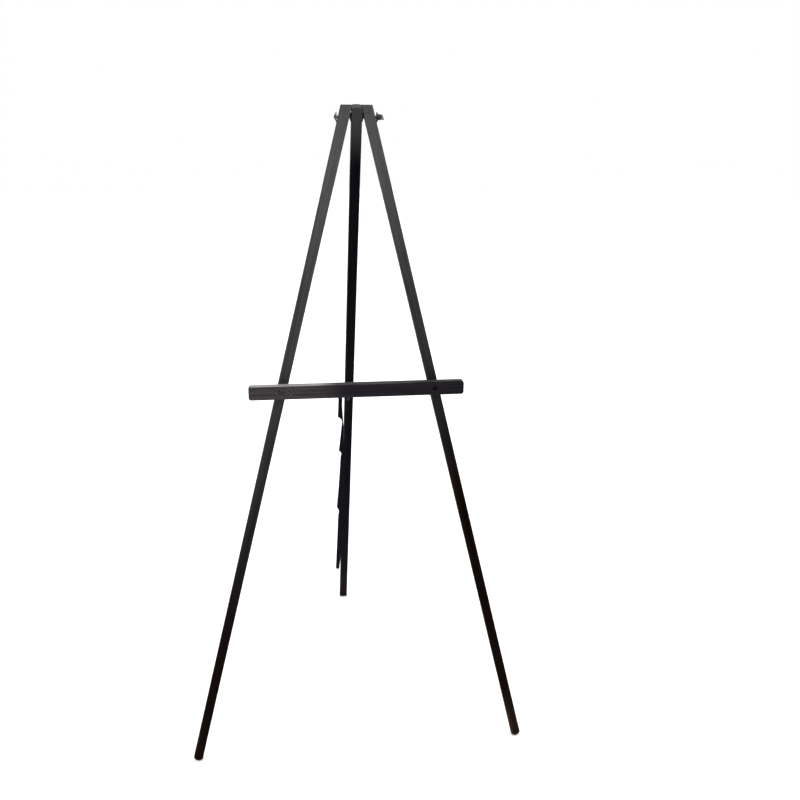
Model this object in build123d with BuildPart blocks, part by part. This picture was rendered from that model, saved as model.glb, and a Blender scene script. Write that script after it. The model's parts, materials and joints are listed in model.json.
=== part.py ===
from build123d import *
import os
from math import asin, atan2, cos, degrees, hypot, radians, sin, tan

# A three-legged wooden display easel, in millimetres, standing open on the floor.
# +Z is up, the front faces -Y, and the origin is the middle of the footprint at floor level.
# All three legs hang on one bolt at the apex, and the sizes below are measured from that bolt.

# Stance
APEX_HEIGHT = 1436.0  # top bolt above the floor
APEX_Y = -112.6  # top bolt from the middle of the footprint
FRONT_REACH = 181.0  # front feet, forwards of the bolt
REAR_REACH = 405.5  # rear foot, behind the bolt
LEG_SPACING = 24.8  # front leg's centre line from the middle, at the bolt
FOOT_SPREAD = 384.0  # front leg's centre line from the middle, at the floor
FOLD_TURN = 12.0  # how far each front leg closes, in degrees

# Timber
LEG_WIDTH = 20.8
LEG_DEPTH = 18.0
LEG_TOP = 22.5  # front legs' level top above the bolt
LEG_ARRIS = 1.5  # rounding of the long edges
FOOT_RADIUS = 14.0  # domed end of a front leg
FOOT_FLAT = 0.8  # how much of the dome is worn flat
REAR_WIDTH = 20.4
REAR_TOP = 20.2
REAR_CROWN = 1.6  # rise of the rear leg's rounded top
SIDE_GAP = 0.3  # rear leg's side to the front legs' bevelled tops

# Crossbar
BAR_DROP = 539.6  # centre line below the bolt, along the front legs' plane
BAR_LEFT = 226.5
BAR_RIGHT = 220.5
BAR_HEIGHT = 29.4
BAR_DEPTH = 16.0
BAR_CORNER = 6.0
BAR_ARRIS = 1.6
BAR_GAP = 0.4  # crossbar's back to the front legs' faces

# Hardware
BOLT = 3.0  # radius of the top bolt, pivot bolt and peg
HOLE_GAP = 0.3  # hole's wall to a bolt that turns in it
FIT_GAP = 0.1  # nuts' and washers' bores to their bolts
SEAT_GAP = 0.2  # wing nut to the washer that it turns on
WASHER = 9.5
WASHER_THICK = 1.6
SMALL_WASHER = 7.0
SMALL_THICK = 1.2
SPACER = 8.4
HEAD = 6.6
HEAD_HEIGHT = 3.6
SINK_HEAD = 5.8  # pivot bolt's countersunk head
SINK_GAP = 0.3
SLOT_WIDTH = 1.4
SLOT_DEPTH = 1.6
SLOT_TURN = 12.0  # pivot bolt's slot from level, in degrees
NUT_HEIGHT = 8.0
NUT_BASE = 6.3
NUT_TOP = 5.2
WING_THICK = 2.2
BOLT_END = 3.0  # bolt's end past its nut
BOLT_CHAMFER = 0.8
PEG_CHAMFER = 1.0  # peg's lead into its channel
TOP_WINGS_TURN = 6.0  # where the top wing nut came to rest, in degrees
BAR_WINGS_TURN = 25.0
HEX_FLATS = 10.0
HEX_HEIGHT = 5.0
CHANNEL_DEPTH = 7.4  # peg's channel in the crossbar's back
PEG_REACH = 6.9  # peg past the crossbar's back
SIGHT_HOLE = 4.8  # radius of the hole in front of the peg
CATCH_X = -22.0
CATCH = 1.8  # radius of the catch screw's shank
CATCH_HEAD = 3.8
CATCH_HEAD_HEIGHT = 2.4
CATCH_EXPOSED = 5.0
CATCH_LENGTH = 12.0

# Stay and its eye
EYE_HEIGHT = 766.0
EYE_X = -22.0  # middle of the wire that the stay hangs on
EYE_RADIUS = 5.0  # ring, to the middle of its wire
EYE_WIRE = 1.2
EYE_SHANK = 1.5
EYE_NECK = 2.0  # from the ring's wire out to the shank's radius
EYE_POINT = 4.0
EYE_DEPTH = 14.0  # shank inside the rear leg
STAY_THICK = 2.5
STAY_HEAD = 6.0
STAY_HOLE = 2.3

# Angles and planes that follow from the stance
LEAN = atan2(FRONT_REACH, APEX_HEIGHT)
REAR_LEAN = atan2(REAR_REACH, APEX_HEIGHT)
SPLAY = atan2(FOOT_SPREAD - LEG_SPACING, hypot(FRONT_REACH, APEX_HEIGHT))
CLOSED_SPLAY = SPLAY - radians(FOLD_TURN)
APEX = Vector(0, APEX_Y, APEX_HEIGHT)
LEFT, RIGHT = -1, 1

# The front legs' middle plane: x across, y up along the legs' plane, z out of the front.
front = Plane(APEX, x_dir=(1, 0, 0), z_dir=(0, -cos(LEAN), sin(LEAN)))
# The rear leg's middle plane, the same way round.
rear = Plane(APEX, x_dir=(1, 0, 0), z_dir=(0, -cos(REAR_LEAN), -sin(REAR_LEAN)))
# Turned pieces on the top bolt are drawn here: x is the radius, y runs along the bolt.
bolt_section = Plane(APEX, x_dir=(0, 0, 1), z_dir=(0, 1, 0))

BAR_BACK = LEG_DEPTH / 2 + BAR_GAP
BAR_FRONT = BAR_BACK + BAR_DEPTH
PIVOT_X = LEG_SPACING + BAR_DROP * tan(SPLAY)  # pivot bolt and peg, from the middle
BAR_TURN = 90 - degrees(SPLAY)  # crossbar's swing, up along the left leg
SWING_RATIO = BAR_TURN / FOLD_TURN
OUTER_SEAT = LEG_SPACING + LEG_WIDTH / 2 / cos(SPLAY) + WASHER * tan(SPLAY) + HOLE_GAP
NUT_SEAT = OUTER_SEAT + WASHER_THICK
EYE_Y = APEX_Y + (APEX_HEIGHT - EYE_HEIGHT) * tan(REAR_LEAN)


def on_front(x, y, z=0.0):
    """A point given in the front plane's own directions."""
    return front.from_local_coords(Vector(x, y, z))


def leg_plane(side):
    """A front leg's middle plane: origin at the bolt, y up along the leg, z out of the front."""
    across = front.x_dir * cos(SPLAY) + front.y_dir * (sin(SPLAY) * side)
    return Plane(on_front(side * LEG_SPACING, 0), x_dir=across, z_dir=front.z_dir)


def save(piece, label):
    piece.part.label = label
    export_step(piece.part, f"parts/{label}.step")


def long_edges(piece):
    return piece.edges().filter_by(lambda edge: edge.length > APEX_HEIGHT)


def half_section(*points):
    """A straight-sided outline, for a turned piece."""
    Polygon(*points, align=None)


def dome_middle(radius, height):
    """Half-way point of a ball-shaped head's arc, as radius and height over the head's rim."""
    ball = (radius**2 + height**2) / (2 * height)
    half_turn = asin(radius / ball) / 2
    return ball * sin(half_turn), height - ball + ball * cos(half_turn)


def front_leg(side, label):
    plane = leg_plane(side)
    centre_height = FOOT_RADIUS - FOOT_FLAT
    dome = (APEX_HEIGHT - centre_height) / (cos(LEAN) * cos(SPLAY))
    length = dome + FOOT_RADIUS
    spare = 12.0  # length above the level top, cut away
    half = LEG_WIDTH / 2 + 1  # slot's half-length, a little past the leg's sides
    opening = (BOLT + HOLE_GAP) / cos(SPLAY)
    wide = -side * half * tan(SPLAY)
    narrow = -side * half * tan(CLOSED_SPLAY)
    level_top = Plane(on_front(0, LEG_TOP), z_dir=front.y_dir)
    bevel = Plane((side * (REAR_WIDTH / 2 + SIDE_GAP), 0, 0), z_dir=(side, 0, 0))
    with BuildPart() as leg:
        with BuildSketch(plane):
            with Locations((0, (LEG_TOP + spare - length) / 2)):
                Rectangle(LEG_WIDTH, LEG_TOP + spare + length)
        extrude(amount=LEG_DEPTH / 2, both=True)
        fillet(long_edges(leg), LEG_ARRIS)
        # the domed foot
        with BuildSketch(plane):
            with BuildLine():
                Polyline((0, -length), (0, LEG_TOP + spare), (LEG_WIDTH, LEG_TOP + spare))
                Polyline((LEG_WIDTH, LEG_TOP + spare), (LEG_WIDTH, -dome), (FOOT_RADIUS, -dome))
                RadiusArc((FOOT_RADIUS, -dome), (0, -length), FOOT_RADIUS)
            make_face()
        revolve(axis=Axis(plane.origin, plane.y_dir), mode=Mode.INTERSECT)
        split(bisect_by=level_top, keep=Keep.BOTTOM)
        split(bisect_by=bevel, keep=Keep.TOP)
        split(bisect_by=Plane.XY, keep=Keep.TOP)
        # the top hole is a waisted slot, so that the leg can tilt on the bolt
        with BuildSketch(plane):
            with BuildLine():
                Polyline(
                    (-half, opening - min(wide, narrow)),
                    (0, opening),
                    (half, opening + max(wide, narrow)),
                    (half, min(wide, narrow) - opening),
                    (0, -opening),
                    (-half, -opening - max(wide, narrow)),
                    close=True,
                )
            make_face()
        extrude(amount=BOLT + HOLE_GAP, both=True, mode=Mode.SUBTRACT)
        # the hole for the crossbar's bolt or peg
        with Locations(Plane(on_front(side * PIVOT_X, -BAR_DROP), z_dir=front.z_dir)):
            Hole(BOLT + FIT_GAP)
    save(leg, label)


def rear_leg():
    length = APEX_HEIGHT / cos(REAR_LEAN) + LEG_DEPTH
    half = REAR_WIDTH / 2
    with BuildPart() as leg:
        with BuildSketch(rear):
            with BuildLine():
                Polyline((-half, REAR_TOP), (-half, -length), (half, -length), (half, REAR_TOP))
                ThreePointArc((-half, REAR_TOP), (0, REAR_TOP + REAR_CROWN), (half, REAR_TOP))
            make_face()
        extrude(amount=LEG_DEPTH / 2, both=True)
        fillet(long_edges(leg), LEG_ARRIS)
        split(bisect_by=Plane.XY, keep=Keep.TOP)
        with Locations(Plane(APEX, z_dir=(1, 0, 0))):
            Hole(BOLT + HOLE_GAP)
        with Locations(Plane((-half, EYE_Y, EYE_HEIGHT), z_dir=(-1, 0, 0))):
            Hole(EYE_SHANK + FIT_GAP, depth=EYE_DEPTH + 1)
    save(leg, "rear_leg")


def crossbar():
    # The peg leaves the bar along this slope as the right leg closes and the bar swings up.
    closing = 2 * BAR_DROP
    lifting = 2 * PIVOT_X * (1 + SWING_RATIO)
    slope = atan2(-lifting, -closing)
    run = BAR_HEIGHT
    with BuildPart() as bar:
        with BuildSketch(front.offset(BAR_BACK)):
            with Locations(((BAR_RIGHT - BAR_LEFT) / 2, -BAR_DROP)):
                RectangleRounded(BAR_LEFT + BAR_RIGHT, BAR_HEIGHT, BAR_CORNER)
        extrude(amount=BAR_DEPTH)
        ends = bar.faces().filter_by(Axis(APEX, front.z_dir))
        fillet(ends.edges(), BAR_ARRIS)
        # the countersunk pivot hole at the left
        with Locations(Plane(on_front(-PIVOT_X, -BAR_DROP, BAR_FRONT), z_dir=front.z_dir)):
            CounterSinkHole(BOLT + HOLE_GAP / 2, SINK_HEAD + SINK_GAP)
        # the peg's channel in the back, open at the bottom edge
        with BuildSketch(front.offset(BAR_BACK)):
            with Locations((PIVOT_X + run / 2 * cos(slope), -BAR_DROP + run / 2 * sin(slope))):
                SlotCenterToCenter(run, 2 * (BOLT + BAR_GAP), rotation=degrees(slope))
        extrude(amount=CHANNEL_DEPTH, mode=Mode.SUBTRACT)
        with BuildSketch(front.offset(BAR_FRONT)):
            with Locations((PIVOT_X, -BAR_DROP)):
                Circle(SIGHT_HOLE)
        extrude(amount=CHANNEL_DEPTH - BAR_DEPTH, mode=Mode.SUBTRACT)
        with BuildSketch(catch_plane()):
            half_section((0, 0), (CATCH, 0), (CATCH, CATCH_LENGTH - 2 * CATCH), (0, CATCH_LENGTH))
        revolve(axis=Axis(catch_plane().origin, front.y_dir), mode=Mode.SUBTRACT)
    save(bar, "crossbar")


def catch_plane():
    """The catch screw's section: origin where it enters the crossbar's underside, y up its axis."""
    middle = (BAR_BACK + BAR_FRONT) / 2
    entry = on_front(CATCH_X, -BAR_DROP - BAR_HEIGHT / 2, middle)
    return Plane(entry, x_dir=(1, 0, 0), z_dir=front.z_dir)


def stay_catch_screw():
    plane = catch_plane()
    under = -CATCH_EXPOSED
    out, rise = dome_middle(CATCH_HEAD, CATCH_HEAD_HEIGHT)
    with BuildPart() as screw:
        with BuildSketch(plane):
            with BuildLine():
                Polyline(
                    (0, under - CATCH_HEAD_HEIGHT),
                    (0, CATCH_LENGTH),
                    (CATCH, CATCH_LENGTH - 2 * CATCH),
                    (CATCH, under),
                    (CATCH_HEAD, under),
                )
                ThreePointArc((CATCH_HEAD, under), (out, under - rise), (0, under - CATCH_HEAD_HEIGHT))
            make_face()
        revolve(axis=Axis(plane.origin, plane.y_dir))
        with BuildSketch(plane.offset(-CATCH_HEAD)):
            with Locations((0, under - CATCH_HEAD_HEIGHT)):
                Rectangle(SLOT_WIDTH / 2, 2)
        extrude(amount=2 * CATCH_HEAD, mode=Mode.SUBTRACT)
    save(screw, "stay_catch_screw")


def top_bolt():
    end = NUT_SEAT + NUT_HEIGHT + BOLT_END
    crown = -NUT_SEAT - HEAD_HEIGHT
    out, rise = dome_middle(HEAD, HEAD_HEIGHT)
    with BuildPart() as bolt:
        with BuildSketch(bolt_section):
            with BuildLine():
                Polyline((HEAD, -NUT_SEAT), (BOLT, -NUT_SEAT), (BOLT, end - BOLT_CHAMFER))
                Polyline((BOLT, end - BOLT_CHAMFER), (BOLT - BOLT_CHAMFER, end), (0, end), (0, crown))
                ThreePointArc((HEAD, -NUT_SEAT), (out, -NUT_SEAT - rise), (0, crown))
            make_face()
        revolve(axis=Axis(APEX, (1, 0, 0)))
    save(bolt, "top_bolt")


def top_washer(side, label):
    inner = side * OUTER_SEAT
    with BuildPart() as washer:
        with BuildSketch(Plane(APEX + Vector(inner, 0, 0), z_dir=(side, 0, 0))):
            Circle(WASHER)
            Circle(BOLT + FIT_GAP, mode=Mode.SUBTRACT)
        extrude(amount=WASHER_THICK)
    save(washer, label)


def spacer(side, label):
    """A coned washer that fills the gap between the rear leg and a splayed front leg."""
    near = REAR_WIDTH / 2 + SIDE_GAP
    face = LEG_SPACING - LEG_WIDTH / 2 / cos(SPLAY) - SIDE_GAP
    bore = BOLT + FIT_GAP
    with BuildPart() as washer:
        with BuildSketch(bolt_section):
            half_section(
                (bore, side * near),
                (SPACER, side * near),
                (SPACER, side * (face - SPACER * tan(SPLAY))),
                (bore, side * (face - bore * tan(SPLAY))),
            )
        revolve(axis=Axis(APEX, (1, 0, 0)))
    save(washer, label)


def wing_nut(seat, label):
    """A cast wing nut on a seat plane: z points along the bolt, away from the wood, x along the wings."""
    wings = Plane(seat.origin, x_dir=seat.x_dir, z_dir=-seat.y_dir)
    with BuildPart() as nut:
        with BuildSketch(wings):
            half_section((0, 0), (NUT_BASE, 0), (NUT_TOP, NUT_HEIGHT), (0, NUT_HEIGHT))
        revolve(axis=Axis(seat.origin, seat.z_dir))
        with BuildSketch(wings):
            with BuildLine():
                Polyline((6.0, NUT_HEIGHT), (3.5, NUT_HEIGHT), (3.5, 1.2), (6.6, 1.2))
                ThreePointArc((6.6, 1.2), (12.4, 3.6), (15.9, 8.6))
                ThreePointArc((15.9, 8.6), (15.0, 11.6), (11.8, 11.4))
                ThreePointArc((11.8, 11.4), (8.6, 9.1), (6.0, NUT_HEIGHT))
            make_face()
            mirror(about=Plane.YZ)
        extrude(amount=WING_THICK / 2, both=True)
        with Locations(seat):
            Hole(BOLT + FIT_GAP)
    save(nut, label)


def crossbar_pivot_bolt():
    plane = Plane(on_front(-PIVOT_X, -BAR_DROP), x_dir=(1, 0, 0), z_dir=-front.y_dir)
    end = -LEG_DEPTH / 2 - SMALL_THICK - SEAT_GAP - NUT_HEIGHT - BOLT_END
    with BuildPart() as bolt:
        with BuildSketch(plane):
            half_section(
                (0, BAR_FRONT),
                (SINK_HEAD, BAR_FRONT),
                (BOLT, BAR_FRONT - SINK_HEAD + BOLT),
                (BOLT, end + BOLT_CHAMFER),
                (BOLT - BOLT_CHAMFER, end),
                (0, end),
            )
        revolve(axis=Axis(plane.origin, front.z_dir))
        with BuildSketch(front.offset(BAR_FRONT)):
            with Locations((-PIVOT_X, -BAR_DROP)):
                Rectangle(2 * SINK_HEAD + 1, SLOT_WIDTH, rotation=SLOT_TURN)
        extrude(amount=-SLOT_DEPTH, mode=Mode.SUBTRACT)
    save(bolt, "crossbar_pivot_bolt")


def crossbar_peg():
    plane = Plane(on_front(PIVOT_X, -BAR_DROP), x_dir=(1, 0, 0), z_dir=-front.y_dir)
    end = -LEG_DEPTH / 2 - SMALL_THICK - HEX_HEIGHT - BOLT_END / 2
    tip = BAR_BACK + PEG_REACH
    with BuildPart() as peg:
        with BuildSketch(plane):
            half_section(
                (0, tip),
                (BOLT - PEG_CHAMFER, tip),
                (BOLT, tip - PEG_CHAMFER),
                (BOLT, end + BOLT_CHAMFER),
                (BOLT - BOLT_CHAMFER, end),
                (0, end),
            )
        revolve(axis=Axis(plane.origin, front.z_dir))
    save(peg, "crossbar_peg")


def back_washer(side, label):
    with BuildPart() as washer:
        with BuildSketch(front.offset(-LEG_DEPTH / 2)):
            with Locations((side * PIVOT_X, -BAR_DROP)):
                Circle(SMALL_WASHER)
                Circle(BOLT + FIT_GAP, mode=Mode.SUBTRACT)
        extrude(amount=-SMALL_THICK)
    save(washer, label)


def peg_nut():
    with BuildPart() as nut:
        with BuildSketch(front.offset(-LEG_DEPTH / 2 - SMALL_THICK)):
            with Locations((PIVOT_X, -BAR_DROP)):
                RegularPolygon(HEX_FLATS / 2, 6, major_radius=False)
                Circle(BOLT + FIT_GAP / 2, mode=Mode.SUBTRACT)
        extrude(amount=-HEX_HEIGHT)
    save(nut, "peg_nut")


def stay_screw_eye():
    """A ring that lies level, on a shank that turns in the rear leg's left side."""
    centre = Vector(EYE_X + EYE_RADIUS, EYE_Y, EYE_HEIGHT)
    start = EYE_X + 2 * EYE_RADIUS
    end = EYE_DEPTH - REAR_WIDTH / 2
    section = Plane((0, EYE_Y, EYE_HEIGHT), x_dir=(0, 0, 1), z_dir=(0, 1, 0))
    with BuildPart() as eye:
        with BuildSketch(Plane(centre, x_dir=(1, 0, 0), z_dir=(0, -1, 0))):
            with Locations((EYE_RADIUS, 0)):
                Circle(EYE_WIRE)
        revolve(axis=Axis(centre, (0, 0, 1)))
        with BuildSketch(section):
            half_section(
                (0, start),
                (EYE_WIRE, start),
                (EYE_SHANK, start + EYE_NECK),
                (EYE_SHANK, end - EYE_POINT),
                (0, end),
            )
        revolve(axis=Axis(section.origin, (1, 0, 0)))
    save(eye, "stay_screw_eye")


def notched_stay():
    """A flat steel stay with one hooked notch and two shallow ones, hanging from the eye's wire."""
    hang = Plane((EYE_X, EYE_Y, EYE_HEIGHT), x_dir=(1, 0, 0), z_dir=(0, -1, 0))
    with BuildPart() as stay:
        with BuildSketch(hang):
            with Locations((0.6, -0.6)):
                Circle(STAY_HEAD)
            with BuildLine():
                Polyline((-4.6, -3.5), (-3.2, -17), (-4.9, -63))
                ThreePointArc((-4.9, -63), (2.4, -68.5), (4.6, -83))
                Polyline((4.6, -83), (1.5, -116), (-2.8, -157))
                ThreePointArc((-2.8, -157), (0.9, -160), (1.6, -172))
                Polyline((1.6, -172), (-3.1, -253), (-8.7, -321))
                ThreePointArc((-8.7, -321), (-5.8, -326), (-5.2, -344))
                Polyline((-5.2, -344), (-9.3, -448), (-11.9, -508))
                ThreePointArc((-11.9, -508), (-8.2, -514), (-2.6, -508))
                Polyline((-2.6, -508), (3.6, -448), (8.4, -230), (9.4, -140))
                Polyline((9.4, -140), (9.2, -90), (5.9, -30), (6.4, -3.5))
                Line((6.4, -3.5), (-4.6, -3.5))
            make_face()
            with Locations((0, -0.9)):
                Circle(STAY_HOLE, mode=Mode.SUBTRACT)
        extrude(amount=STAY_THICK / 2, both=True)
    save(stay, "notched_stay")


os.makedirs("parts", exist_ok=True)

front_leg(LEFT, "front_leg_left")
front_leg(RIGHT, "front_leg_right")
rear_leg()
crossbar()
stay_catch_screw()

top_bolt()
top_washer(LEFT, "top_washer_left")
top_washer(RIGHT, "top_washer_right")
spacer(LEFT, "leg_spacer_left")
spacer(RIGHT, "leg_spacer_right")
top_turn = radians(TOP_WINGS_TURN)
wing_nut(
    Plane(
        APEX + Vector(NUT_SEAT + SEAT_GAP, 0, 0),
        x_dir=(0, -cos(top_turn), -sin(top_turn)),
        z_dir=(1, 0, 0),
    ),
    "top_wing_nut",
)

crossbar_pivot_bolt()
back_washer(LEFT, "pivot_washer")
bar_turn = radians(BAR_WINGS_TURN)
wing_nut(
    Plane(
        on_front(-PIVOT_X, -BAR_DROP, -LEG_DEPTH / 2 - SMALL_THICK - SEAT_GAP),
        x_dir=front.x_dir * cos(bar_turn) + front.y_dir * sin(bar_turn),
        z_dir=-front.z_dir,
    ),
    "crossbar_wing_nut",
)
crossbar_peg()
back_washer(RIGHT, "peg_washer")
peg_nut()

stay_screw_eye()
notched_stay()
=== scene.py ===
import json
import math

import bmesh
import bpy
from mathutils import Matrix, Vector


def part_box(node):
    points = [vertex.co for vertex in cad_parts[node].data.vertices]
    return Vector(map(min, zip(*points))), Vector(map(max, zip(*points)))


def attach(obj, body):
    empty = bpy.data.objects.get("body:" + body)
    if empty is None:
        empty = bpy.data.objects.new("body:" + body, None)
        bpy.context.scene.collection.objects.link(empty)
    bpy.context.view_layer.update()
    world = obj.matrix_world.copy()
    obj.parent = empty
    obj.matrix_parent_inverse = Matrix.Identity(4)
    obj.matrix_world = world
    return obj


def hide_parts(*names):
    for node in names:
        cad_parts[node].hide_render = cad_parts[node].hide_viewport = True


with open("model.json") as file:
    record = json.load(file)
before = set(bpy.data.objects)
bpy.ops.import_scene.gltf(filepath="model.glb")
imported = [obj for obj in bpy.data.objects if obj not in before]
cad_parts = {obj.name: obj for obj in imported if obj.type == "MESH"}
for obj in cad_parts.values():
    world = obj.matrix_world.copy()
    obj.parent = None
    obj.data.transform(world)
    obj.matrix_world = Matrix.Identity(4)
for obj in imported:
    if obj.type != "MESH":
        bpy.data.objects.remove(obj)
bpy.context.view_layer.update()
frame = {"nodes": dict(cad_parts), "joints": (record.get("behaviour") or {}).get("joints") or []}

MM = 0.001
RIGHT = Vector((1, 0, 0))
UP = Vector((0, 0, 1))

# Places and directions, all read from the joints of the frame
joints = {joint["name"]: joint for joint in frame["joints"]}
FRONT = Vector(joints["left_leg_fold"]["axis"]).normalized()
RISE = FRONT.cross(RIGHT)
LEFT_TOP = Vector(joints["left_leg_fold"]["pos_m"])
RIGHT_TOP = Vector(joints["right_leg_fold"]["pos_m"])
APEX = Vector(joints["rear_leg_swing"]["pos_m"])
PIVOT = Vector(joints["crossbar_swing"]["pos_m"])
PEG = Vector((-PIVOT.x, PIVOT.y, PIVOT.z))
EYE = Vector(joints["stay_sway"]["pos_m"])
LEFT_ALONG = (LEFT_TOP - PIVOT).normalized()
RIGHT_ALONG = (RIGHT_TOP - PEG).normalized()
REAR_ALONG = (APEX - Vector((0, EYE.y, EYE.z))).normalized()
SPLAY_SLOPE = math.tan(LEFT_ALONG.angle(RISE))

# Timber, as the frame has it
LEG_LENGTH = 1491 * MM
LEG_WIDTH = 20.8 * MM
LEG_DEPTH = 18 * MM
REAR_WIDTH = 20.4 * MM
BAR_HEIGHT = 29.4 * MM
BAR_DEPTH = 16 * MM
BAR_GAP = 0.4 * MM  # the crossbar's back to the legs' faces
BAR_MIDDLE = PEG.lerp(PIVOT, 0.5) + FRONT * (LEG_DEPTH / 2 + BAR_GAP + BAR_DEPTH / 2)

# Hardware, as the frame has it
BOLT = 3 * MM  # radius of the bolts and the peg
BORE = 3.1 * MM  # radius of the holes in washers and nuts
SINK_HEAD = 5.8 * MM
SLOT_WIDTH = 1.4 * MM
SLOT_DEPTH = 1.6 * MM
SLOT_TURN = math.radians(12)
TOP_WASHER = 1.6 * MM
SMALL_WASHER = 1.2 * MM
NUT_GAP = 0.2 * MM
NUT_HEIGHT = 8 * MM
BOLT_PAST_NUT = 3 * MM
TOP_WINGS_TURN = math.radians(6)
BAR_WINGS_TURN = math.radians(25)
PEG_REACH = 6.9 * MM  # past the crossbar's back
PEG_PAST_NUT = 1.5 * MM
HEX_HEIGHT = 5 * MM
HEX_FLAT = 5 * MM  # from the nut's middle to a flat
CATCH_SHANK = 1.8 * MM
CATCH_HEAD_HEIGHT = 2.4 * MM
CATCH_STANDS = 5 * MM
CATCH_SUNK = 12 * MM
EYE_RING = 5 * MM  # to the middle of its wire
EYE_WIRE = 1.2 * MM
EYE_SHANK = 1.5 * MM

# Detail that only shows
THREAD_PITCH = 1.0 * MM
THREAD_DEPTH = 0.34 * MM
THREAD_SHOULDER = 0.5 * MM
THREAD_START = 0.4 * MM  # ridge's start past the shoulder
THREAD_SHORT = 1.2 * MM  # how much shorter the ridge is than the threaded part
BOLT_CHAMFER = 0.7 * MM
AROUND = 72  # sides of a turned piece
CORNER_STEPS = 3
DOME_STEPS = 10


# ---------------------------------------------------------------- node helpers

def add(tree, kind, inputs=None, **settings):
    """Adds a node; inputs maps a socket's name or number to a value or to another node's output."""
    node = tree.nodes.new(kind)
    for name, value in settings.items():
        setattr(node, name, value)
    for key, value in (inputs or {}).items():
        if isinstance(value, bpy.types.NodeSocket):
            tree.links.new(value, node.inputs[key])
        else:
            node.inputs[key].default_value = value
    return node


def calculate(tree, operation, first, second=0.0):
    return add(tree, "ShaderNodeMath", {0: first, 1: second}, operation=operation).outputs[0]


def times(tree, first, second):
    return calculate(tree, "MULTIPLY", first, second)


def rescale(tree, value, low, high, to_low=0.0, to_high=1.0):
    """A smooth step from low to high."""
    inputs = {"Value": value, "From Min": low, "From Max": high, "To Min": to_low, "To Max": to_high}
    return add(tree, "ShaderNodeMapRange", inputs, interpolation_type="SMOOTHSTEP").outputs["Result"]


def stretched_noise(tree, vector, scale, detail=4.0, roughness=0.55, distortion=0.0):
    """Noise whose grains measure one over scale, in metres, on each axis."""
    mapped = add(tree, "ShaderNodeMapping", {"Vector": vector, "Scale": scale}).outputs["Vector"]
    inputs = {
        "Vector": mapped,
        "Scale": 1.0,
        "Detail": detail,
        "Roughness": roughness,
        "Distortion": distortion,
    }
    return add(tree, "ShaderNodeTexNoise", inputs).outputs["Fac"]


def rings(tree, vector, scale, distortion, detail, detail_scale, axis):
    """Growth rings about an axis, a little out of round."""
    inputs = {
        "Vector": vector,
        "Scale": scale,
        "Distortion": distortion,
        "Detail": detail,
        "Detail Scale": detail_scale,
    }
    return add(tree, "ShaderNodeTexWave", inputs, wave_type="RINGS", rings_direction=axis).outputs["Fac"]


def blended(tree, factor, first, second):
    """Two colours mixed, each a colour of three numbers or a node's output."""
    node = add(tree, "ShaderNodeMix", {"Factor": factor}, data_type="RGBA")
    colour_sockets = node.inputs[6:8]
    for socket, value in zip(colour_sockets, (first, second)):
        if isinstance(value, bpy.types.NodeSocket):
            tree.links.new(value, socket)
        else:
            socket.default_value = (*value, 1.0)
    return node.outputs[2]


def new_material(name):
    material = bpy.data.materials.new(name)
    material.use_nodes = True
    tree = material.node_tree
    tree.nodes.clear()
    surface = add(tree, "ShaderNodeBsdfPrincipled")
    output = add(tree, "ShaderNodeOutputMaterial")
    tree.links.new(surface.outputs[0], output.inputs["Surface"])
    return material, tree, surface


def relief(tree, surface, height, strength, distance):
    bump = add(tree, "ShaderNodeBump", {"Height": height, "Strength": strength, "Distance": distance})
    tree.links.new(bump.outputs["Normal"], surface.inputs["Normal"])


# ---------------------------------------------------------------- stained wood, with painted light and shade

# The stain's dark and light and the bare wood, lit at the top or left and in painted shade at the foot or
# right
LEG_LIT_TONES = ((0.0112, 0.0104, 0.0124), (0.0400, 0.0375, 0.0430), (0.0950, 0.0720, 0.0580))
LEG_SHADED_TONES = ((0.0012, 0.0005, 0.0003), (0.0052, 0.0026, 0.0020), (0.0480, 0.0250, 0.0150))
REAR_LIT_TONES = ((0.0100, 0.0095, 0.0105), (0.0240, 0.0230, 0.0250), (0.0700, 0.0500, 0.0400))
REAR_SHADED_TONES = ((0.0012, 0.0007, 0.0016), (0.0050, 0.0034, 0.0065), (0.0400, 0.0220, 0.0140))
BAR_LIT_TONES = ((0.0070, 0.0054, 0.0058), (0.0440, 0.0350, 0.0370), (0.1200, 0.0860, 0.0740))
BAR_SHADED_RIGHT_TONES = ((0.0020, 0.0017, 0.0026), (0.0132, 0.0112, 0.0152), (0.0800, 0.0620, 0.0570))
# painted highlight: a pale colour for the crossbar's top edge, where light catches it
TOP_EDGE_HIGHLIGHT = (0.210, 0.200, 0.200)

# How fine the wood's patterns are, in grains per metre across, through and along a timber
BANDS = (230, 170, 2.6)
FIBRES = (1300, 1300, 16)
PORES = (2300, 2300, 60)
MOTTLE = (30, 30, 7)
WORN_PATCHES = (60, 60, 11)
SCUFFS = (90, 90, 26)

# Where each timber's painted shade has darkened its tones, in metres along it from its origin
LEFT_SHADE_REACH = -1.25
RIGHT_SHADE_REACH = -0.88
REAR_SHADE_REACH = -0.10
BAR_SHADE_REACH = -0.10
BAR_SHADE_START = 120 * MM  # left of the crossbar's middle
KICKED_HEIGHT = 170 * MM  # of the rubbed part of a foot
KNOT_ASIDE = -5 * MM  # from the pivot bolt, along the crossbar
KNOT_ABOVE = 1.5 * MM  # the crossbar's middle line
KNOT_DRAWN = 0.6  # how tall a knot's rings are for their length


def timber_place(tree, origin, along, across):
    """Object coordinates turned so that z runs along a timber from its origin."""
    turn = Matrix((across, along.cross(across), along))
    place = {
        "Vector": add(tree, "ShaderNodeTexCoord").outputs["Object"],
        "Rotation": turn.to_euler(),
        "Location": -(turn @ origin),
    }
    return add(tree, "ShaderNodeMapping", place).outputs["Vector"]


def near_side(tree, offset, half, start):
    """How near the timber's outside a place is, from its offset from the middle."""
    outward = calculate(tree, "DIVIDE", calculate(tree, "ABSOLUTE", offset), half)
    return rescale(tree, outward, start, 0.99)


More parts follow.
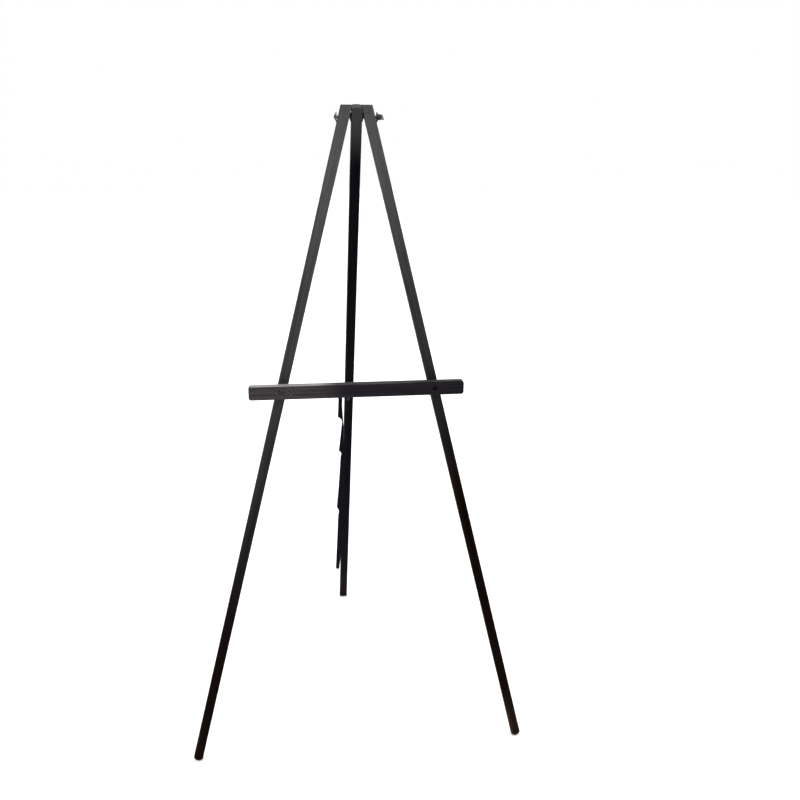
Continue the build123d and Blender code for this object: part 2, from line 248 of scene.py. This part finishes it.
def with_knot(tree, local, knot, stain, dark, light):
    """The stain with a knot's rings in it, whose middle lies knot along the timber."""
    bend = {"Vector": local, "Location": (KNOT_ABOVE, 0, -KNOT_DRAWN * knot), "Scale": (1, 0, KNOT_DRAWN)}
    centred = add(tree, "ShaderNodeMapping", bend).outputs["Vector"]
    away = add(tree, "ShaderNodeVectorMath", {0: centred}, operation="LENGTH").outputs["Value"]
    near = rescale(tree, away, 7 * MM, 19 * MM, 0.65, 0.0)
    circles = rings(tree, centred, 62.0, 3.6, 3.0, 2.2, "Y")
    return blended(tree, near, stain, blended(tree, rescale(tree, circles, 0.2, 0.8), light, dark))


def cut_end(tree, local, along, dark, light):
    """How far a face is a cut end, and the colour of the rings that show there."""
    normal = add(tree, "ShaderNodeTexCoord").outputs["Normal"]
    facing = add(tree, "ShaderNodeVectorMath", {0: normal, 1: along}, operation="DOT_PRODUCT")
    end = rescale(tree, calculate(tree, "ABSOLUTE", facing.outputs["Value"]), 0.75, 0.95)
    off_pith = {"Vector": local, "Location": (21 * MM, 13 * MM, 0)}
    pith = add(tree, "ShaderNodeMapping", off_pith).outputs["Vector"]
    return end, blended(tree, rings(tree, pith, 95.0, 3.0, 2.0, 60.0, "Z"), dark, light)


def stained_wood_with_painted_shade(
    name, origin, along, across, size, tones, shaded_tones, reach, sheen, wear,
    kicked=0.0, lit_top_edge=False, knot=None
):
    """Black-stained softwood with its grain along, its tones darkening from the origin to reach in painted
    shade.

    Size is half the width and half the depth. Sheen is the shine at the origin and at reach; it fades with
    the painted shade. Wear rubs the arrises and kicked the foot. A lit top edge is painted pale, a painted
    highlight along the crossbar's top where light catches it. Knot is how far along a knot lies.
    """
    half_width, half_depth = size
    material, tree, surface = new_material(name)
    local = timber_place(tree, origin, along, across)
    x, y, z = add(tree, "ShaderNodeSeparateXYZ", {0: local}).outputs
    # painted shade: the stain's tones darken from the origin towards reach, light falling off down a leg
    # and to the crossbar's right
    painted_shade = rescale(tree, z, reach, 0.0, 1.0, 0.0)
    dark, light, bare = [blended(tree, painted_shade, high, low) for high, low in zip(tones, shaded_tones)]

    bands = stretched_noise(tree, local, BANDS, detail=3, distortion=0.6)
    fibres = stretched_noise(tree, local, FIBRES, detail=3, roughness=0.6)
    pores = rescale(tree, stretched_noise(tree, local, PORES, detail=2), 0.56, 0.70)
    mottle = stretched_noise(tree, local, MOTTLE, detail=4)
    figure = calculate(tree, "ADD", times(tree, bands, 0.6), times(tree, fibres, 0.4))
    stain = blended(tree, rescale(tree, figure, 0.36, 0.66), dark, light)
    stain = blended(tree, times(tree, pores, 0.7), stain, dark)
    stain = blended(tree, rescale(tree, mottle, 0.35, 0.7, 0.0, 0.4), stain, light)
    if knot is not None:
        stain = with_knot(tree, local, knot, stain, dark, light)

    # the stain rubs off along the arrises, in patches, and in scuffs anywhere
    arris = times(tree, near_side(tree, x, half_width, 0.84), near_side(tree, y, half_depth, 0.82))
    patches = stretched_noise(tree, local, WORN_PATCHES, detail=5, roughness=0.65)
    rubbed = times(tree, times(tree, arris, rescale(tree, patches, 0.44, 0.62)), wear)
    scuffs = stretched_noise(tree, local, SCUFFS, detail=6, roughness=0.7)
    scuffs = rescale(tree, scuffs, 0.64, 0.74, 0.0, 0.5)
    rubbed = calculate(tree, "MAXIMUM", rubbed, times(tree, scuffs, wear))
    if kicked:
        foot = rescale(tree, z, -LEG_LENGTH, KICKED_HEIGHT - LEG_LENGTH, kicked, 0.0)
        foot = times(tree, foot, rescale(tree, mottle, 0.38, 0.58, 0.25, 1.0))
        rubbed = calculate(tree, "MAXIMUM", rubbed, foot)
    colour = blended(tree, rubbed, stain, bare)
    # painted highlight: the crossbar's top edge painted pale, fading to the right, where light catches it
    if lit_top_edge:
        top = rescale(tree, x, -0.99 * half_width, -0.93 * half_width, 1.0, 0.0)
        top = times(tree, top, rescale(tree, painted_shade, 0.2, 0.9, 1.0, 0.1))
        top = times(tree, top, rescale(tree, bands, 0.3, 0.6, 0.5, 1.0))
        colour = blended(tree, top, colour, TOP_EDGE_HIGHLIGHT)
    end, end_colour = cut_end(tree, local, along, dark, light)
    colour = blended(tree, times(tree, end, 0.8), colour, end_colour)
    tree.links.new(colour, surface.inputs["Base Color"])

    # worn places, pores and cut ends are duller
    rough = calculate(tree, "ADD", rescale(tree, mottle, 0.3, 0.7, 0.40, 0.54), times(tree, pores, 0.2))
    dull = times(tree, calculate(tree, "MAXIMUM", rubbed, end), 0.25)
    tree.links.new(calculate(tree, "ADD", rough, dull), surface.inputs["Roughness"])
    # painted sheen: the shine fades with the painted shade, so the lit end shines more than the shaded end
    shine = add(tree, "ShaderNodeMapRange", {"Value": painted_shade, "To Min": sheen[0], "To Max": sheen[1]})
    surface.inputs["Specular IOR Level"].default_value = sum(sheen) / 2
    tree.links.new(shine.outputs["Result"], surface.inputs["Specular IOR Level"])
    height = calculate(tree, "SUBTRACT", times(tree, fibres, 0.5), pores)
    relief(tree, surface, height, 0.35, 0.25 * MM)
    return material


def leg_wood(name, top, along, reach, kicked):
    half_size = (LEG_WIDTH / 2, LEG_DEPTH / 2)
    return stained_wood_with_painted_shade(
        name, top, along, along.cross(FRONT), half_size,
        LEG_LIT_TONES, LEG_SHADED_TONES, reach, (0.32, 0.01), 0.7, kicked)


def rear_wood():
    half_size = (REAR_WIDTH / 2, LEG_DEPTH / 2)
    return stained_wood_with_painted_shade(
        "rear_leg_stain_and_painted_shade", APEX, REAR_ALONG, RIGHT, half_size,
        REAR_LIT_TONES, REAR_SHADED_TONES, REAR_SHADE_REACH, (0.2, 0.015), 0.5, kicked=0.5)


def crossbar_wood():
    half_size = (BAR_HEIGHT / 2, BAR_DEPTH / 2)
    knot = KNOT_ASIDE - BAR_SHADE_START - PIVOT.x
    return stained_wood_with_painted_shade(
        "crossbar_stain_and_painted_light", BAR_MIDDLE - RIGHT * BAR_SHADE_START, -RIGHT, -RISE, half_size,
        BAR_LIT_TONES, BAR_SHADED_RIGHT_TONES, BAR_SHADE_REACH, (0.20, 0.06), 0.6, lit_top_edge=True, knot=knot)


# ---------------------------------------------------------------- metal and floor

def finished_steel(name, base, worn, roughness, metallic, scuffs, grain=900.0, shine=0.5):
    """Metal with a thin finish: stained in soft clouds and rubbed bright in scuffs."""
    material, tree, surface = new_material(name)
    place = add(tree, "ShaderNodeTexCoord").outputs["Object"]
    clouds = stretched_noise(tree, place, (160, 160, 160), detail=5, roughness=0.6)
    fine = stretched_noise(tree, place, (grain, grain, grain), detail=3)
    patches = stretched_noise(tree, place, (420, 420, 420), detail=6, roughness=0.7)
    rub = rescale(tree, patches, 0.66 - 0.25 * scuffs, 0.72)
    stained = [0.55 * tone for tone in base]
    colour = blended(tree, rescale(tree, clouds, 0.3, 0.75), base, stained)
    colour = blended(tree, times(tree, rub, scuffs), colour, worn)
    tree.links.new(colour, surface.inputs["Base Color"])
    clouded = rescale(tree, clouds, 0.3, 0.7, roughness, roughness + 0.16)
    rough = calculate(tree, "ADD", clouded, times(tree, fine, 0.08))
    tree.links.new(rough, surface.inputs["Roughness"])
    surface.inputs["Metallic"].default_value = metallic
    surface.inputs["Specular IOR Level"].default_value = shine
    relief(tree, surface, fine, 0.25, 0.05 * MM)
    return material


def floor_paper():
    """A plain pale studio sweep."""
    material, tree, surface = new_material("studio_floor")
    place = add(tree, "ShaderNodeTexCoord").outputs["Object"]
    soft = stretched_noise(tree, place, (1.2, 1.2, 1.2), detail=3)
    colour = blended(tree, soft, (0.86, 0.86, 0.865), (0.90, 0.90, 0.90))
    tree.links.new(colour, surface.inputs["Base Color"])
    surface.inputs["Roughness"].default_value = 0.9
    surface.inputs["Specular IOR Level"].default_value = 0.1
    return material


def paint(piece, material):
    """Gives a piece one material, in every slot that it has."""
    if not piece.material_slots:
        piece.data.materials.append(material)
    for slot in piece.material_slots:
        slot.material = material


zinc = finished_steel("dull_zinc", (0.13, 0.13, 0.14), (0.36, 0.36, 0.36), 0.40, 1.0, 0.5)
black_oxide = finished_steel("black_oxide", (0.030, 0.030, 0.034), (0.22, 0.21, 0.20), 0.36, 0.85, 0.35)
dull_black = finished_steel(
    "dull_black_oxide", (0.012, 0.012, 0.014), (0.05, 0.05, 0.05), 0.6, 0.3, 0.2, shine=0.1)
screw_steel = finished_steel(
    "blackened_screw_steel", (0.048, 0.045, 0.045), (0.24, 0.23, 0.22), 0.36, 0.9, 0.45)
stay_enamel = finished_steel(
    "stay_enamel", (0.0036, 0.0028, 0.0042), (0.060, 0.055, 0.052), 0.45, 0.0, 0.35,
    grain=500.0, shine=0.03)

wood = {
    "front_leg_left": leg_wood("left_leg_stain_and_painted_shade", LEFT_TOP, LEFT_ALONG, LEFT_SHADE_REACH, 0.15),
    "front_leg_right": leg_wood("right_leg_stain_and_painted_shade", RIGHT_TOP, RIGHT_ALONG, RIGHT_SHADE_REACH, 0.75),
    "rear_leg": rear_wood(),
    "crossbar": crossbar_wood(),
}
for node, material in wood.items():
    paint(frame["nodes"][node], material)


# ---------------------------------------------------------------- mesh helpers

def basis(origin, x, z):
    """A placing matrix with these x and z directions."""
    return Matrix.Translation(origin) @ Matrix((x, z.cross(x), z)).transposed().to_4x4()


def smooth(piece, angle=35.0):
    """Shades a piece smooth, apart from edges sharper than angle."""
    piece.data.polygons.foreach_set("use_smooth", [True] * len(piece.data.polygons))
    piece.data.set_sharp_from_angle(angle=math.radians(angle))


def softened(points, radius, closed=False):
    """The same outline with its corners rounded off."""
    count = len(points)
    rounded = []
    for index in range(count):
        here = Vector(points[index])
        if not closed and index in (0, count - 1):
            rounded.append(here)
            continue
        before = Vector(points[index - 1]) - here
        after = Vector(points[(index + 1) % count]) - here
        trim = min(radius, 0.45 * before.length, 0.45 * after.length)
        start = here + before.normalized() * trim
        finish = here + after.normalized() * trim
        for step in range(CORNER_STEPS + 1):
            share = step / CORNER_STEPS
            rest = 1 - share
            rounded.append(start * rest ** 2 + here * (2 * share * rest) + finish * share ** 2)
    return rounded


def mesh_object(name, shape, matrix):
    """Turns a bmesh into a shaded object at the origin, with its place in its mesh."""
    bmesh.ops.remove_doubles(shape, verts=shape.verts, dist=0.001 * MM)
    bmesh.ops.recalc_face_normals(shape, faces=shape.faces)
    mesh = bpy.data.meshes.new(name)
    shape.to_mesh(mesh)
    shape.free()
    mesh.transform(matrix)
    piece = bpy.data.objects.new(name, mesh)
    bpy.context.scene.collection.objects.link(piece)
    smooth(piece)
    return piece


def turned(name, profile, matrix, closed=False):
    """A turned piece, whose profile gives radius and height.

    A closed profile makes a ring; an open one ends on the axis.
    """
    shape = bmesh.new()
    angles = [math.tau * step / AROUND for step in range(AROUND)]
    rounds = []
    for radius, height in profile:
        if radius < 0.0001 * MM:
            rounds.append([shape.verts.new((0, 0, height))])
            continue
        rounds.append([
            shape.verts.new((radius * math.cos(angle), radius * math.sin(angle), height))
            for angle in angles
        ])
    pairs = list(zip(rounds, rounds[1:]))
    if closed:
        pairs.append((rounds[-1], rounds[0]))
    for low, high in pairs:
        for step in range(AROUND):
            after = (step + 1) % AROUND
            if len(low) == 1:
                shape.faces.new((low[0], high[step], high[after]))
            elif len(high) == 1:
                shape.faces.new((low[step], low[after], high[0]))
            else:
                shape.faces.new((low[step], low[after], high[after], high[step]))
    return mesh_object(name, shape, matrix)


def plate(name, outline, thickness, matrix):
    """A flat piece with the given outline, thick about its own plane."""
    shape = bmesh.new()
    lower = [shape.verts.new((x, y, -thickness / 2)) for x, y in outline]
    upper = [shape.verts.new((x, y, thickness / 2)) for x, y in outline]
    shape.faces.new(lower)
    shape.faces.new(upper)
    count = len(outline)
    for index in range(count):
        after = (index + 1) % count
        shape.faces.new((lower[index], lower[after], upper[after], upper[index]))
    return mesh_object(name, shape, matrix)


def applied(piece):
    """Takes the piece's modifiers into its mesh."""
    bpy.context.view_layer.update()
    mesh = bpy.data.meshes.new_from_object(piece.evaluated_get(bpy.context.evaluated_depsgraph_get()))
    piece.modifiers.clear()
    piece.data = mesh
    return piece


def cut(piece, cutter, operation="DIFFERENCE"):
    """Cuts one closed piece with another, which is used up."""
    boolean = piece.modifiers.new("cut", "BOOLEAN")
    boolean.operation = operation
    boolean.solver = "EXACT"
    boolean.object = cutter
    applied(piece)
    bpy.data.objects.remove(cutter)
    smooth(piece)


def joined(name, pieces):
    """Several meshes as one piece."""
    shape = bmesh.new()
    for piece in pieces:
        shape.from_mesh(piece.data)
    mesh = bpy.data.meshes.new(name)
    shape.to_mesh(mesh)
    shape.free()
    for piece in pieces:
        bpy.data.objects.remove(piece)
    result = bpy.data.objects.new(name, mesh)
    bpy.context.scene.collection.objects.link(result)
    smooth(result)
    return result


def fitted(piece, material, slot, body, *nodes):
    """Gives a finished piece its look and its body, and hides the frame's pieces that it stands for."""
    paint(piece, material)
    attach(piece, body)
    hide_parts(*nodes)


# ---------------------------------------------------------------- screw threads

def thread_nodes():
    """Geometry nodes for one helical thread: a ridge wound round a shaft."""
    tree = bpy.data.node_groups.new("screw_thread", "GeometryNodeTree")
    for name, kind in (
        ("Crest Radius", "NodeSocketFloat"),
        ("Pitch", "NodeSocketFloat"),
        ("Length", "NodeSocketFloat"),
        ("Depth", "NodeSocketFloat"),
        ("Steel", "NodeSocketMaterial"),
    ):
        tree.interface.new_socket(name, in_out="INPUT", socket_type=kind)
    tree.interface.new_socket("Thread", in_out="OUTPUT", socket_type="NodeSocketGeometry")
    sizes = add(tree, "NodeGroupInput").outputs
    turns = calculate(tree, "DIVIDE", sizes["Length"], sizes["Pitch"])
    radius = calculate(tree, "SUBTRACT", sizes["Crest Radius"], sizes["Depth"])
    helix = {
        "Resolution": 40,
        "Rotations": turns,
        "Start Radius": radius,
        "End Radius": radius,
        "Height": sizes["Length"],
    }
    spiral = add(tree, "GeometryNodeCurveSpiral", helix).outputs[0]
    ridge = {"Resolution": 6, "Radius": sizes["Depth"]}
    section = add(tree, "GeometryNodeCurvePrimitiveCircle", ridge).outputs[0]
    wound = add(tree, "GeometryNodeCurveToMesh", {0: spiral, 1: section, "Fill Caps": True}).outputs[0]
    real = add(tree, "GeometryNodeRealizeInstances", {0: wound}).outputs[0]
    steel = add(tree, "GeometryNodeSetMaterial", {"Geometry": real, "Material": sizes["Steel"]}).outputs[0]
    result = add(tree, "NodeGroupOutput")
    tree.links.new(steel, result.inputs["Thread"])
    return tree


thread_tree = thread_nodes()


def thread(crest, length, matrix, steel, pitch=THREAD_PITCH, depth=THREAD_DEPTH):
    """One thread as a plain mesh, starting at the matrix's origin and running up its z."""
    piece = bpy.data.objects.new("thread", bpy.data.meshes.new("thread"))
    bpy.context.scene.collection.objects.link(piece)
    wind = piece.modifiers.new("wind", "NODES")
    wind.node_group = thread_tree
    values = {"Crest Radius": crest, "Pitch": pitch, "Length": length, "Depth": depth, "Steel": steel}
    for socket in thread_tree.interface.items_tree:
        if socket.in_out == "INPUT":
            wind[socket.identifier] = values[socket.name]
    applied(piece)
    piece.data.transform(matrix)
    return piece


# ---------------------------------------------------------------- turned hardware

def washer(node, thick, axis, across, material, slot, body):
    """A stamped washer in the place of its frame piece, with its edges rolled over."""
    low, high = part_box(node)
    half = thick / 2
    rim = max(high - low) / 2
    section = [(BORE, -half), (rim, -half), (rim, half), (BORE, half)]
    place = basis((low + high) / 2, across, axis)
    piece = turned(node + "_stamped", softened(section, 0.45 * MM, closed=True), place, closed=True)
    fitted(piece, material, slot, body, node)


def spacer(node, side):
    """A coned washer between the rear leg and a front leg."""
    low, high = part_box(node)
    rim = (high.z - low.z) / 2
    inner, outer = sorted((abs(low.x), abs(high.x)))
    thick = outer - inner
    cone = SPLAY_SLOPE * (rim - BORE)
    section = [(BORE, 0), (rim, 0), (rim, thick - cone), (BORE, thick)]
    place = basis(Vector((side * inner, APEX.y, APEX.z)), UP, RIGHT * side)
    piece = turned(node + "_coned", softened(section, 0.3 * MM, closed=True), place, closed=True)
    fitted(piece, dull_black, "black_steel", "head", node)


def dome(radius, height):
    """A ball-shaped head's outline, from its crown at zero out to its rim."""
    ball = (radius ** 2 + height ** 2) / (2 * height)
    widest = math.asin(radius / ball)
    angles = [widest * step / DOME_STEPS for step in range(DOME_STEPS)]
    return [(ball * math.sin(angle), ball - ball * math.cos(angle)) for angle in angles]


def threaded_shaft(head, length, threaded, place, steel):
    """A bolt's shaft, which starts with head and runs to length, and the thread wound round its end."""
    core = BOLT - THREAD_DEPTH
    end = [
        (BOLT, length - threaded),
        (core, length - threaded + THREAD_SHOULDER),
        (core, length - BOLT_CHAMFER),
        (core - BOLT_CHAMFER, length),
        (0, length),
    ]
    shaft = turned("shaft", head + end, place)
    start = place @ Matrix.Translation((0, 0, length - threaded + THREAD_START))
    return [shaft, thread(BOLT, threaded - THREAD_SHORT, start, steel)]


def slot_cutter(centre, width, depth, length, across, axis):
    """A block that cuts a screwdriver's slot as deep as depth below centre."""
    shape = bmesh.new()
    bmesh.ops.create_cube(shape, size=1)
    bmesh.ops.scale(shape, vec=(length, width, 2 * depth), verts=shape.verts)
    return mesh_object("slot", shape, basis(centre, across, axis))


def top_bolt():
    """A domed bolt through the tops of the three legs."""
    low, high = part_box("top_bolt")
    rim = (high.z - low.z) / 2
    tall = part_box("top_washer_left")[0].x - low.x
    edge = [(rim, tall - 0.3 * MM), (rim - 0.25 * MM, tall - 0.02 * MM), (BOLT, tall)]
    head = dome(rim, tall - 0.4 * MM) + edge
    place = basis(Vector((low.x, APEX.y, APEX.z)), UP, RIGHT)
    parts = threaded_shaft(head, high.x - low.x, 18 * MM, place, zinc)
    fitted(joined("top_bolt_zinc", parts), zinc, "zinc_steel", "head", "top_bolt")


def crossbar_pivot_bolt():
    """Countersunk and slotted at the front, threaded into the wing nut behind the leg."""
    face = LEG_DEPTH / 2 + BAR_GAP + BAR_DEPTH
    length = face + LEG_DEPTH / 2 + SMALL_WASHER + NUT_GAP + NUT_HEIGHT + BOLT_PAST_NUT
    rim = SINK_HEAD
    front = PIVOT + FRONT * face
    head = [
        (0, 0.12 * MM),
        (rim - 1.6 * MM, 0.05 * MM),
        (rim - 0.25 * MM, 0.02 * MM),
        (rim - 0.05 * MM, 0.2 * MM),
        (BOLT + 0.2 * MM, rim - BOLT - 0.1 * MM),
        (BOLT, rim - BOLT + 0.25 * MM),
    ]
    parts = threaded_shaft(head, length, 17 * MM, basis(front, RIGHT, -FRONT), screw_steel)
    across = RIGHT * math.cos(SLOT_TURN) + RISE * math.sin(SLOT_TURN)
    cut(parts[0], slot_cutter(front, SLOT_WIDTH, SLOT_DEPTH, 16 * MM, across, FRONT))
    piece = joined("crossbar_pivot_bolt_slotted", parts)
    fitted(piece, screw_steel, "dark_screw_steel", "left_leg", "crossbar_pivot_bolt")


def crossbar_peg():
    """A stud whose plain end sits in the crossbar's channel and whose thread takes a nut behind."""
    tip = LEG_DEPTH / 2 + BAR_GAP + PEG_REACH
    length = tip + LEG_DEPTH / 2 + SMALL_WASHER + HEX_HEIGHT + PEG_PAST_NUT
    lead = 0.9 * MM
    head = softened([(0, 0), (BOLT - lead, 0), (BOLT, lead), (BOLT, 2.5 * MM)], 0.5 * MM)
    parts = threaded_shaft(head, length, 11 * MM, basis(PEG + FRONT * tip, RIGHT, -FRONT), screw_steel)
    piece = joined("crossbar_peg_turned", parts)
    fitted(piece, screw_steel, "dark_screw_steel", "right_leg", "crossbar_peg")


def peg_nut():
    """A plain hexagon nut with its corners turned off on both faces."""
    corner = HEX_FLAT / math.cos(math.pi / 6)
    back = PEG - FRONT * (LEG_DEPTH / 2 + SMALL_WASHER)
    angles = [math.tau * side / 6 for side in range(6)]
    outline = [(corner * math.cos(angle), corner * math.sin(angle)) for angle in angles]
    blank = plate("hexagon", outline, HEX_HEIGHT, basis(back - FRONT * (HEX_HEIGHT / 2), RIGHT, FRONT))
    chamfer = 0.55 * MM
    past = corner + 0.2 * MM
    face = 0.97 * HEX_FLAT
    section = [
        (BORE, 0),
        (face, 0),
        (past, chamfer),
        (past, HEX_HEIGHT - chamfer),
        (face, HEX_HEIGHT),
        (BORE, HEX_HEIGHT),
    ]
    cut(blank, turned("turned_off", section, basis(back, RIGHT, -FRONT), closed=True), "INTERSECT")
    blank.name = "peg_nut_hexagon"
    fitted(blank, zinc, "zinc_steel", "right_leg", "peg_nut")


def stay_catch_screw():
    """A small round-headed screw that stands out of the crossbar's underside."""
    low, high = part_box("stay_catch_screw")
    underside = BAR_MIDDLE - RISE * (BAR_HEIGHT / 2)
    entry = underside + RIGHT * ((low.x + high.x) / 2 - underside.x)
    crown = entry - RISE * (CATCH_STANDS + CATCH_HEAD_HEIGHT)
    rim = (high.x - low.x) / 2
    total = CATCH_HEAD_HEIGHT + CATCH_STANDS + CATCH_SUNK
    depth = 0.4 * MM
    core = CATCH_SHANK - depth
    neck = CATCH_HEAD_HEIGHT + CATCH_STANDS - 1.5 * MM
    profile = dome(rim, CATCH_HEAD_HEIGHT - 0.2 * MM) + [
        (rim, CATCH_HEAD_HEIGHT - 0.2 * MM),
        (rim - 0.2 * MM, CATCH_HEAD_HEIGHT),
        (CATCH_SHANK, CATCH_HEAD_HEIGHT),
        (CATCH_SHANK, neck),
        (core, neck + 0.5 * MM),
        (core, total - 3.6 * MM),
        (0, total),
    ]
    shaft = turned("shaft", profile, basis(crown, RIGHT, RISE))
    cut(shaft, slot_cutter(crown, 0.8 * MM, 1.0 * MM, 9 * MM, RIGHT, RISE))
    start = basis(entry - RISE * 1.0 * MM, RIGHT, RISE)
    wound = thread(CATCH_SHANK, CATCH_SUNK - 3.2 * MM, start, screw_steel, pitch=1.3 * MM, depth=depth)
    piece = joined("stay_catch_screw_slotted", [shaft, wound])
    fitted(piece, black_oxide, "dark_screw_steel", "crossbar", "stay_catch_screw")


def wire_ring(centre):
    """Wire bent to a closed ring that lies level."""
    turns = 64
    sides = 20
    shape = bmesh.new()
    hoops = []
    for step in range(turns):
        angle = math.tau * step / turns
        out = Vector((math.cos(angle), math.sin(angle), 0))
        rolls = [math.tau * side / sides for side in range(sides)]
        hoops.append([
            shape.verts.new(out * (EYE_RING + EYE_WIRE * math.cos(roll)) + UP * (EYE_WIRE * math.sin(roll)))
            for roll in rolls
        ])
    for here, after in zip(hoops, hoops[1:] + hoops[:1]):
        for side in range(sides):
            beside = (side + 1) % sides
            shape.faces.new((here[side], here[beside], after[beside], after[side]))
    return mesh_object("ring", shape, Matrix.Translation(centre))


def stay_screw_eye():
    """Bent wire: a ring lying level, and a threaded shank in the rear leg's side."""
    low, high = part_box("stay_screw_eye")
    centre = Vector((low.x + EYE_WIRE + EYE_RING, EYE.y, EYE.z))
    begin = centre + RIGHT * (EYE_RING - 0.4 * EYE_WIRE)
    length = high.x - begin.x
    depth = 0.3 * MM
    core = EYE_SHANK - depth
    profile = [
        (0, 0),
        (0.9 * EYE_WIRE, 0.1 * MM),
        (EYE_WIRE, 1.0 * MM),
        (EYE_SHANK, 2.6 * MM),
        (EYE_SHANK, 5.0 * MM),
        (core, 5.5 * MM),
        (core, length - 4 * MM),
        (0, length),
    ]
    shaft = turned("shaft", profile, basis(begin, UP, RIGHT))
    start = basis(begin + RIGHT * 5.4 * MM, UP, RIGHT)
    wound = thread(EYE_SHANK, length - 8.6 * MM, start, zinc, pitch=1.2 * MM, depth=depth)
    piece = joined("stay_screw_eye_bent", [wire_ring(centre), shaft, wound])
    fitted(piece, zinc, "zinc_steel", "stay_eye", "stay_screw_eye")


# ---------------------------------------------------------------- wing nuts and stay

def wing_nut(node, seat, wings, along):
    """A cast wing nut: a hub and two flared wings, run together and eased as castings are."""
    low = 0.15 * MM
    high = NUT_HEIGHT - low
    hub = softened([(BORE, low), (6.15 * MM, low), (5.15 * MM, high), (BORE, high)], 0.6 * MM, closed=True)
    parts = [turned("hub", hub, basis(seat, wings, along), closed=True)]
    wing_outline = [
        (4.4, 7.4), (4.4, 1.5), (6.8, 1.5), (9.6, 2.2), (12.4, 3.8), (14.7, 6.3), (15.7, 8.6),
        (15.6, 10.4), (14.6, 11.4), (12.6, 11.3), (10.6, 10.4), (8.4, 9.0), (6.2, 7.8),
    ]
    for side in (1, -1):
        points = softened([Vector((x * side, y)) * MM for x, y in wing_outline], 0.9 * MM, closed=True)
        parts.append(plate("wing", points, 1.9 * MM, basis(seat, wings, wings.cross(along))))
    nut = joined(node + "_cast", parts)
    cast = nut.modifiers.new("cast", "REMESH")
    cast.mode = "VOXEL"
    cast.voxel_size = 0.22 * MM
    ease = nut.modifiers.new("ease", "SMOOTH")
    ease.factor = 0.5
    ease.iterations = 6
    smooth(applied(nut), 80)
    fitted(nut, black_oxide, "black_steel", node, node)


def notched_stay():
    """The frame's own stay with its edges rolled over, as a new piece."""
    piece = bpy.data.objects.new("notched_stay_eased", frame["nodes"]["notched_stay"].data.copy())
    bpy.context.scene.collection.objects.link(piece)
    shape = bmesh.new()
    shape.from_mesh(piece.data)
    bmesh.ops.remove_doubles(shape, verts=shape.verts, dist=0.0005 * MM)
    bmesh.ops.dissolve_limit(shape, angle_limit=math.radians(0.5), verts=shape.verts, edges=shape.edges)
    shape.to_mesh(piece.data)
    shape.free()
    ease = piece.modifiers.new("ease", "BEVEL")
    ease.width = 0.35 * MM
    ease.segments = 3
    ease.limit_method = "ANGLE"
    ease.angle_limit = math.radians(40)
    smooth(applied(piece), 50)
    fitted(piece, stay_enamel, "stay_steel", "stay", "notched_stay")


top_bolt()
washer("top_washer_left", TOP_WASHER, RIGHT, UP, zinc, "zinc_steel", "head")
washer("top_washer_right", TOP_WASHER, RIGHT, UP, black_oxide, "black_steel", "head")
washer("pivot_washer", SMALL_WASHER, FRONT, RIGHT, zinc, "zinc_steel", "left_leg")
washer("peg_washer", SMALL_WASHER, FRONT, RIGHT, zinc, "zinc_steel", "right_leg")
spacer("leg_spacer_left", -1)
spacer("leg_spacer_right", 1)
wing_nut(
    "top_wing_nut",
    Vector((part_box("top_wing_nut")[0].x, APEX.y, APEX.z)),
    Vector((0, -math.cos(TOP_WINGS_TURN), -math.sin(TOP_WINGS_TURN))),
    RIGHT,
)
wing_nut(
    "crossbar_wing_nut",
    PIVOT - FRONT * (LEG_DEPTH / 2 + SMALL_WASHER + NUT_GAP),
    RIGHT * math.cos(BAR_WINGS_TURN) + RISE * math.sin(BAR_WINGS_TURN),
    -FRONT,
)
crossbar_pivot_bolt()
crossbar_peg()
peg_nut()
stay_catch_screw()
stay_screw_eye()
notched_stay()


# ---------------------------------------------------------------- floor, light and camera

def white_world():
    """An open studio that looks white and lights softly."""
    world = bpy.data.worlds.new("soft_white")
    bpy.context.scene.world = world
    world.use_nodes = True
    tree = world.node_tree
    sky = tree.nodes["Background"]
    sky.inputs["Color"].default_value = (1.0, 1.0, 1.0, 1.0)
    seen = add(tree, "ShaderNodeLightPath").outputs["Is Camera Ray"]
    strength = add(tree, "ShaderNodeMapRange", {"Value": seen, "To Min": 0.18, "To Max": 1.0})
    tree.links.new(strength.outputs["Result"], sky.inputs["Strength"])


def softbox(name, place, aim, size, power):
    """A flat lamp of the given width and height, turned to face a point."""
    light = bpy.data.lights.new(name, "AREA")
    light.shape = "RECTANGLE"
    light.size, light.size_y = size
    light.energy = power
    lamp = bpy.data.objects.new(name, light)
    bpy.context.scene.collection.objects.link(lamp)
    lamp.location = place
    lamp.rotation_euler = (Vector(aim) - Vector(place)).to_track_quat("-Z", "Y").to_euler()


def studio():
    """A pale floor, one broad light overhead and one softbox in front, near the easel's top."""
    bpy.ops.mesh.primitive_plane_add(size=8.5, location=(0, 1.6, 0))
    floor = bpy.context.object
    floor.name = "studio_floor"
    paint(floor, floor_paper())
    white_world()
    softbox("front_softbox", (-0.35, -2.1, 1.80), (0, -0.15, 1.10), (1.4, 0.9), 27)
    softbox("overhead", (0.0, 2.0, 5.0), (0, 2.0, 0), (12.0, 12.0), 1150)


def camera():
    """Stands to the left, above the easel's top, and looks down at it."""
    lens = bpy.data.cameras.new("camera")
    lens.sensor_width = 36.0
    lens.lens = 40.42
    eye = bpy.data.objects.new("camera", lens)
    bpy.context.scene.collection.objects.link(eye)
    from_top_bolt = Vector((-0.150, -1.772, 0.253))
    yaw = Matrix.Rotation(math.radians(-7.99), 4, "Z")
    tilt = Matrix.Rotation(math.radians(90 - 25.52), 4, "X")
    roll = Matrix.Rotation(math.radians(1.59), 4, "Z")
    eye.matrix_world = Matrix.Translation(APEX + from_top_bolt) @ yaw @ tilt @ roll
    bpy.context.scene.camera = eye


studio()
camera()
bpy.context.scene.view_settings.view_transform = "Standard"
